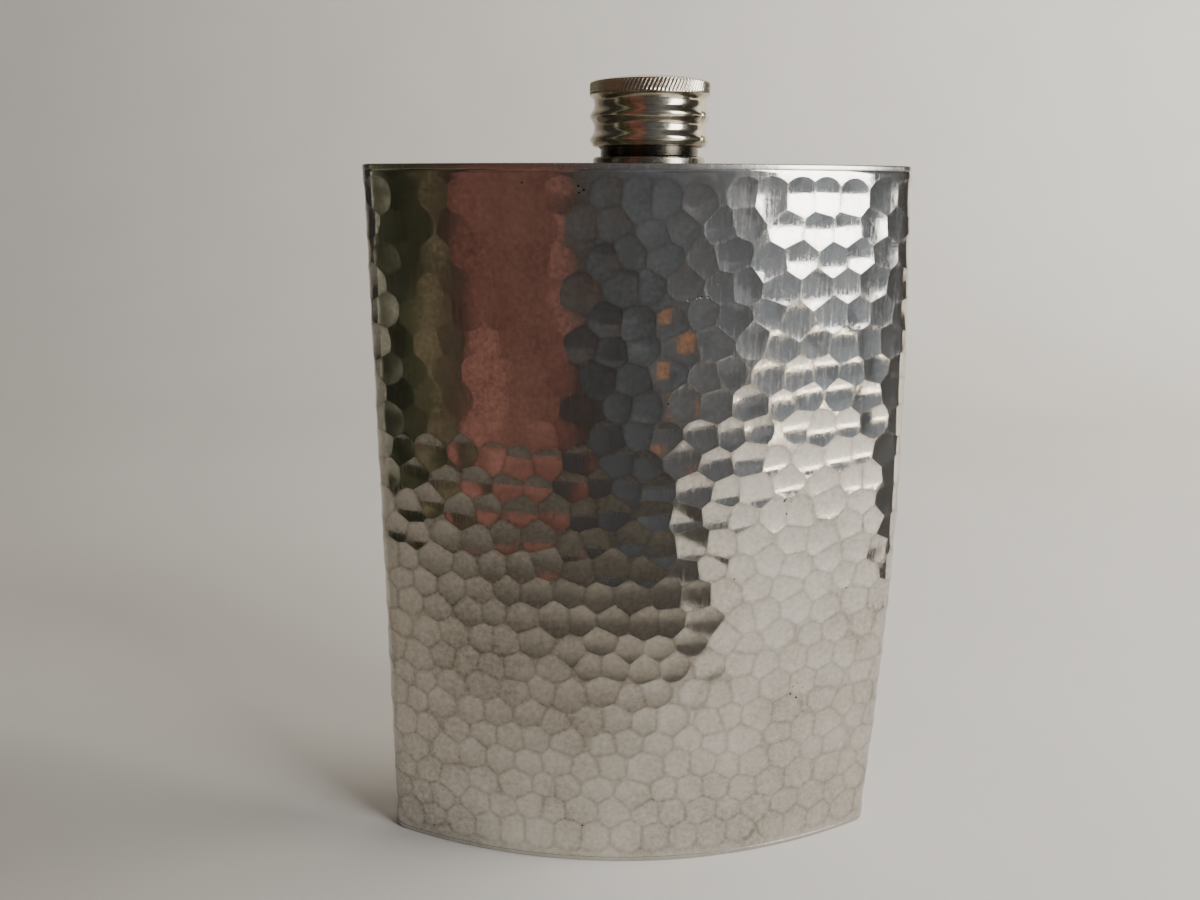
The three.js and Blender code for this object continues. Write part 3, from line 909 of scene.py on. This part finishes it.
def cork():
    """Cut cork: tan granules a millimetre or two across with dark gaps between them, matt."""
    material, tree, place, shader = new_material("cut cork")
    grains = add(tree, "ShaderNodeTexVoronoi", {"Scale": per_mm(CORK_GRAIN)}, {"Vector": place})
    gaps = add(tree, "ShaderNodeTexVoronoi",
               {"feature": "DISTANCE_TO_EDGE", "Scale": per_mm(CORK_GRAIN)}, {"Vector": place})
    shade = add(tree, "ShaderNodeMix",
                {"data_type": "RGBA", 6: linear("#b98f5f"), 7: linear("#8f6639")},
                {0: grains.outputs["Color"]})
    crack = add(tree, "ShaderNodeMapRange", {"From Max": 0.08, "To Min": 1.0, "To Max": 0.0},
                {"Value": gaps.outputs["Distance"]})
    colour = add(tree, "ShaderNodeMix", {"data_type": "RGBA", 7: linear("#4d331c")},
                 {0: crack.outputs["Result"], 6: shade.outputs[2]})
    bump = add(tree, "ShaderNodeBump", {"Strength": 0.7, "Distance": 0.1 * MM},
               {"Height": gaps.outputs["Distance"]})
    shader.inputs["Roughness"].default_value = 0.85
    tree.links.new(colour.outputs[2], shader.inputs["Base Color"])
    tree.links.new(bump.outputs["Normal"], shader.inputs["Normal"])
    return material


liner = make_liner()
liner.data.materials.append(cork())
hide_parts("cap_liner")
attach(liner, "liner")

# ---- Setting ----
# A pale sweep of card under and behind the flask, a window to the front right, soft lights from
# overhead and from the right, and a dim room in front that shows in the polished metal only.

MOTTLE = 60


def plain(name, colour, roughness):
    """A matt surface with a faint mottle."""
    material, tree, place, shader = new_material(name)
    mottle = add(tree, "ShaderNodeTexNoise", {"Scale": per_mm(MOTTLE), "Detail": 4.0},
                 {"Vector": place})
    shade = add(tree, "ShaderNodeMix",
                {"data_type": "RGBA", 6: linear(colour[0]), 7: linear(colour[1])},
                {0: mottle.outputs["Fac"]})
    shader.inputs["Roughness"].default_value = roughness
    tree.links.new(shade.outputs[2], shader.inputs["Base Color"])
    return material


def make_sweep():
    """A floor that turns up into a wall behind, on a quarter circle, extended far to both sides."""
    reach, wall, bend, top = 1500.0, 700.0, 350.0, 1600.0
    angle = np.radians(np.linspace(0, 90, 24))
    y = np.concatenate([[-reach], wall - bend + bend * np.sin(angle), [wall]])
    z = np.concatenate([[0.0], bend - bend * np.cos(angle), [top]])
    x = np.array([-reach, reach])
    points = np.stack([np.tile(x, len(y)), np.repeat(y, 2), np.repeat(z, 2)], axis=-1)
    return mesh_object("sweep", points, grid_quads(np.arange(2 * len(y)).reshape(-1, 2)).tolist())


sweep = make_sweep()
sweep.data.materials.append(plain("pale card", ("#dad5cd", "#d2cdc5"), 0.9))

ROOM_AZIMUTHS = (-78, -60, -45, -20, 5, 20, 35, 50, 66, 72, 84)  # 0 in front, 90 to the right
ROOM_DISTANCES = (250, 270, 265, 240, 225, 255, 340, 430, 420, 200, 175)
ROOM_TOP = 900
WINDOW_AZIMUTHS = (39, 65)
SILL = 103
NEARER = 0.02  # how much nearer the small things stand than the room, so that they show


def room_points(azimuth, height):
    """Points above the far edge of the table top round the flask, at a height."""
    reach = np.interp(azimuth, ROOM_AZIMUTHS, ROOM_DISTANCES)
    turn = np.radians(azimuth)
    points = [reach * np.sin(turn), -reach * np.cos(turn), np.full_like(reach, height)]
    return np.stack(points, axis=-1)


def reflection_card(name, azimuths, low, high, material, nearer=0.0):
    """An upright card at the far edge of the table top, or some share nearer, between two azimuths
    and two heights. It shows in the polished metal only and casts no shadow."""
    azimuth = np.arange(azimuths[0], azimuths[1] + 1, 1.0)
    points = np.vstack([room_points(azimuth, low), room_points(azimuth, high)])
    points[:, :2] *= 1 - nearer
    faces = grid_quads(np.arange(2 * len(azimuth)).reshape(2, -1)).tolist()
    card = mesh_object(name, points, faces)
    card.data.materials.append(material)
    card.visible_camera = False
    card.visible_diffuse = False
    card.visible_shadow = False


def emitter(name):
    """A material that only glows, its tree and its Emission node."""
    material = bpy.data.materials.new(name)
    material.use_nodes = True
    tree = material.node_tree
    tree.nodes.clear()
    light = add(tree, "ShaderNodeEmission")
    output = add(tree, "ShaderNodeOutputMaterial")
    tree.links.new(light.outputs["Emission"], output.inputs["Surface"])
    return material, tree, light


def glow(name, colour, strength):
    """An even glow."""
    material, _, light = emitter(name)
    light.inputs["Color"].default_value = linear(colour)
    light.inputs["Strength"].default_value = strength
    return material


ROOM_COLOURS = (
    (-80, "#b4b3a2"), (-70, "#4a4b3c"), (-66, "#2c3024"), (-60, "#3a3c2c"), (-56, "#655d4a"),
    (-50, "#4a4236"), (-46, "#3e3631"), (-44, "#7e5750"), (-30, "#866057"), (-18, "#7a5650"),
    (-15, "#4c4846"), (-4, "#505256"), (8, "#5c6066"), (20, "#6a6c70"), (36, "#747880"),
    (40, "#7e868f"), (65, "#757d86"), (70, "#44484c"), (84, "#544c40"),
)
ROOM_BEND = 45  # size of the waves in the room's upright edges
ROOM_BEND_TURN = math.radians(16)  # their noise averages half, which the ramp's ends allow for
ROOM_BLOCK = 70


def room_glow():
    """A dim room: its colour follows the azimuth through a row of stops, bent out of true by noise,
    and its brightness varies in blocks."""
    material, tree, light = emitter("dim room")
    place = add(tree, "ShaderNodeTexCoord").outputs["Object"]
    part = add(tree, "ShaderNodeSeparateXYZ", {}, {0: place})
    behind = add(tree, "ShaderNodeMath", {"operation": "MULTIPLY", 1: -1.0}, {0: part.outputs["Y"]})
    turn = add(tree, "ShaderNodeMath", {"operation": "ARCTAN2"},
               {0: part.outputs["X"], 1: behind.outputs["Value"]})
    bend = add(tree, "ShaderNodeTexNoise", {"Scale": per_mm(ROOM_BEND), "Detail": 2.0},
               {"Vector": place})
    bent = add(tree, "ShaderNodeMath", {"operation": "MULTIPLY_ADD", 1: ROOM_BEND_TURN},
               {0: bend.outputs["Fac"], 2: turn.outputs["Value"]})
    ends = (-math.pi / 2 + ROOM_BEND_TURN / 2, math.pi / 2 + ROOM_BEND_TURN / 2)
    share = add(tree, "ShaderNodeMapRange", {"From Min": ends[0], "From Max": ends[1]},
                {"Value": bent.outputs["Value"]})
    ramp = add(tree, "ShaderNodeValToRGB", {}, {"Fac": share.outputs["Result"]},
               stops=[((azimuth + 90) / 180, colour) for azimuth, colour in ROOM_COLOURS])
    blocks = add(tree, "ShaderNodeTexVoronoi",
                 {"distance": "CHEBYCHEV", "Scale": per_mm(ROOM_BLOCK)}, {"Vector": place})
    part = add(tree, "ShaderNodeSeparateXYZ", {}, {0: blocks.outputs["Color"]})
    level = add(tree, "ShaderNodeMapRange", {"To Min": 0.65, "To Max": 1.45},
                {"Value": part.outputs["X"]})
    tree.links.new(ramp.outputs["Color"], light.inputs["Color"])
    tree.links.new(level.outputs["Result"], light.inputs["Strength"])
    return material


room = room_glow()
reflection_card("room_front", (ROOM_AZIMUTHS[0], WINDOW_AZIMUTHS[0]), 0, ROOM_TOP, room)
reflection_card("window_sill", WINDOW_AZIMUTHS, 0, SILL, room)
reflection_card("room_right", (WINDOW_AZIMUTHS[1], ROOM_AZIMUTHS[-1]), 0, ROOM_TOP, room)
# Two glowing cards, seen only in the metal, stand in for light: a bright strip for the window-lit
# far edge of the table top, and a dim patch for a hand held up beside it.
reflection_card("bright_edge", (37, 66), 0, 9, glow("sunlit table edge", "#fff3df", 9.0), NEARER)
reflection_card("hand", (12, 15), 34, 68, glow("hand", "#b08468", 0.8), NEARER)


def area_light(name, place, target, size, power, colour):
    """A rectangular light at a place in millimetres, turned to face a target."""
    data = bpy.data.lights.new(name, "AREA")
    data.shape = "RECTANGLE"
    data.size, data.size_y = size[0] * MM, size[1] * MM
    data.energy = power
    data.color = linear(colour)[:3]
    lamp = bpy.data.objects.new(name, data)
    bpy.context.collection.objects.link(lamp)
    place, target = np.array(place, dtype=float), np.array(target, dtype=float)
    direction = (target - place) / np.linalg.norm(target - place)
    lamp.location = place * MM
    lamp.rotation_euler = Vector(direction).to_track_quat("-Z", "Y").to_euler()
    return lamp


WINDOW_TURN = math.radians(sum(WINDOW_AZIMUTHS) / 2)
WINDOW_DISTANCE = 620
WINDOW_HEIGHT = 320  # of its middle
WINDOW_FACES = (-0.3, 0.95)  # past the flask's right side, towards the wall behind
window_x = WINDOW_DISTANCE * math.sin(WINDOW_TURN)
window_y = -WINDOW_DISTANCE * math.cos(WINDOW_TURN)
window_place = (window_x, window_y, WINDOW_HEIGHT)
window_target = (window_x + WINDOW_FACES[0], window_y + WINDOW_FACES[1], WINDOW_HEIGHT)
area_light("window", window_place, window_target, (400, 520), 8.0, "#f4f7fb")
area_light("ceiling", (0, -100, 1300), (0, 0, 0), (1600, 1600), 0.8, "#fbfaf7")
side = area_light("side", (1100, 0, 750), (300, 700, 100), (700, 700), 18.5, "#fbf8f2")
side.visible_glossy = False  # the metal shows nothing of it

# A dark cloth stands upright in front, right of the middle. It keeps the window's light off the
# table there, and doesn't show itself.
FLAG_X = 62.0
FLAG_Y = (-112.0, -320.0)
FLAG_HEIGHT = 320.0
flag_points = np.array([
    [FLAG_X, FLAG_Y[0], 0], [FLAG_X, FLAG_Y[1], 0],
    [FLAG_X, FLAG_Y[1], FLAG_HEIGHT], [FLAG_X, FLAG_Y[0], FLAG_HEIGHT],
])
flag = mesh_object("flag", flag_points, [[0, 1, 2, 3]])
flag.data.materials.append(plain("dark cloth", ("#3c3a38", "#343230"), 1.0))
flag.visible_camera = False
flag.visible_glossy = False

world = bpy.data.worlds.new("studio")
world.use_nodes = True
world.node_tree.nodes["Background"].inputs["Color"].default_value = linear("#dcdcda")
world.node_tree.nodes["Background"].inputs["Strength"].default_value = 0.06
bpy.context.scene.world = world

# The camera stands close in front, a little lower than the shoulder, and looks down.
CAMERA_PLACE = (-6.5, -178.2, 122.9)  # before it is turned round the flask by the heading
CAMERA_PITCH = 14.59  # degrees down
CAMERA_HEADING = 1.82
CAMERA_ROLL = 0.21
heading = math.radians(CAMERA_HEADING)
camera_x = CAMERA_PLACE[0] * math.cos(heading) + CAMERA_PLACE[1] * math.sin(heading)
camera_y = -CAMERA_PLACE[0] * math.sin(heading) + CAMERA_PLACE[1] * math.cos(heading)
camera_data = bpy.data.cameras.new("camera")
camera_data.lens = 30.0
camera_data.sensor_width = 36.0
camera_data.clip_start = 0.01
camera = bpy.data.objects.new("camera", camera_data)
camera.location = (camera_x * MM, camera_y * MM, CAMERA_PLACE[2] * MM)
camera.rotation_euler = (math.radians(90 - CAMERA_PITCH), 0, -heading)
camera.rotation_euler.rotate_axis("Z", math.radians(CAMERA_ROLL))
bpy.context.collection.objects.link(camera)
bpy.context.scene.camera = camera
